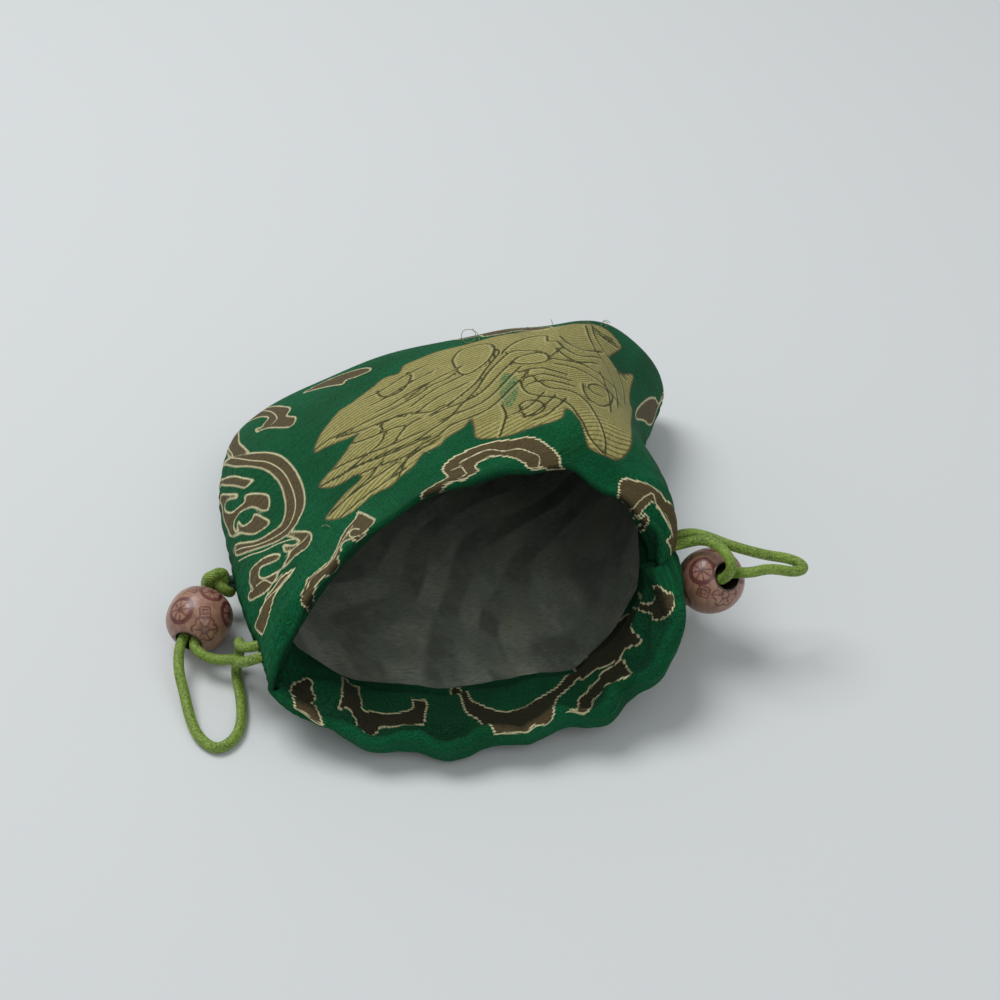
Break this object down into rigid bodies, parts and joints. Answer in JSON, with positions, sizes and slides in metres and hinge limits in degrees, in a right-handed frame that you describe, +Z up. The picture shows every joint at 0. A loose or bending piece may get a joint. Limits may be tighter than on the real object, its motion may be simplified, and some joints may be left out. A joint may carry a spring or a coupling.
{
  "type": "drawstring purse",
  "caption": "Small lined silk brocade drawstring pouch, lying on its back with its gathered mouth open, its green drawstrings knotted through printed wooden beads.",
  "frame": {"origin": "the flat underside of the back panel where it lies on the table, near the middle of the pouch", "axes": "+Z up off the table, -Y out of the mouth towards the viewer, +X to the viewer's right along the width of the pouch"},
  "size_m": [0.1288, 0.1144, 0.0498],
  "materials": {
    "brocade": "satin brocade with raised figures",
    "lining": "matt plain weave",
    "cord": "satin twisted cord",
    "bead": "varnished wood with printed figures"
  },
  "bodies": {
    "root": {"front_panel": "brocade", "back_panel": "brocade", "front_lining": "lining", "back_lining": "lining", "casing_cord_left": "cord", "casing_cord_right": "cord", "left_short_strand": "cord", "left_loop_strand": "cord", "bead_left": "bead", "knot_left": "cord", "right_short_strand": "cord", "right_loop_strand": "cord", "bead_right": "bead", "knot_right": "cord"}
  },
  "joints": []
}
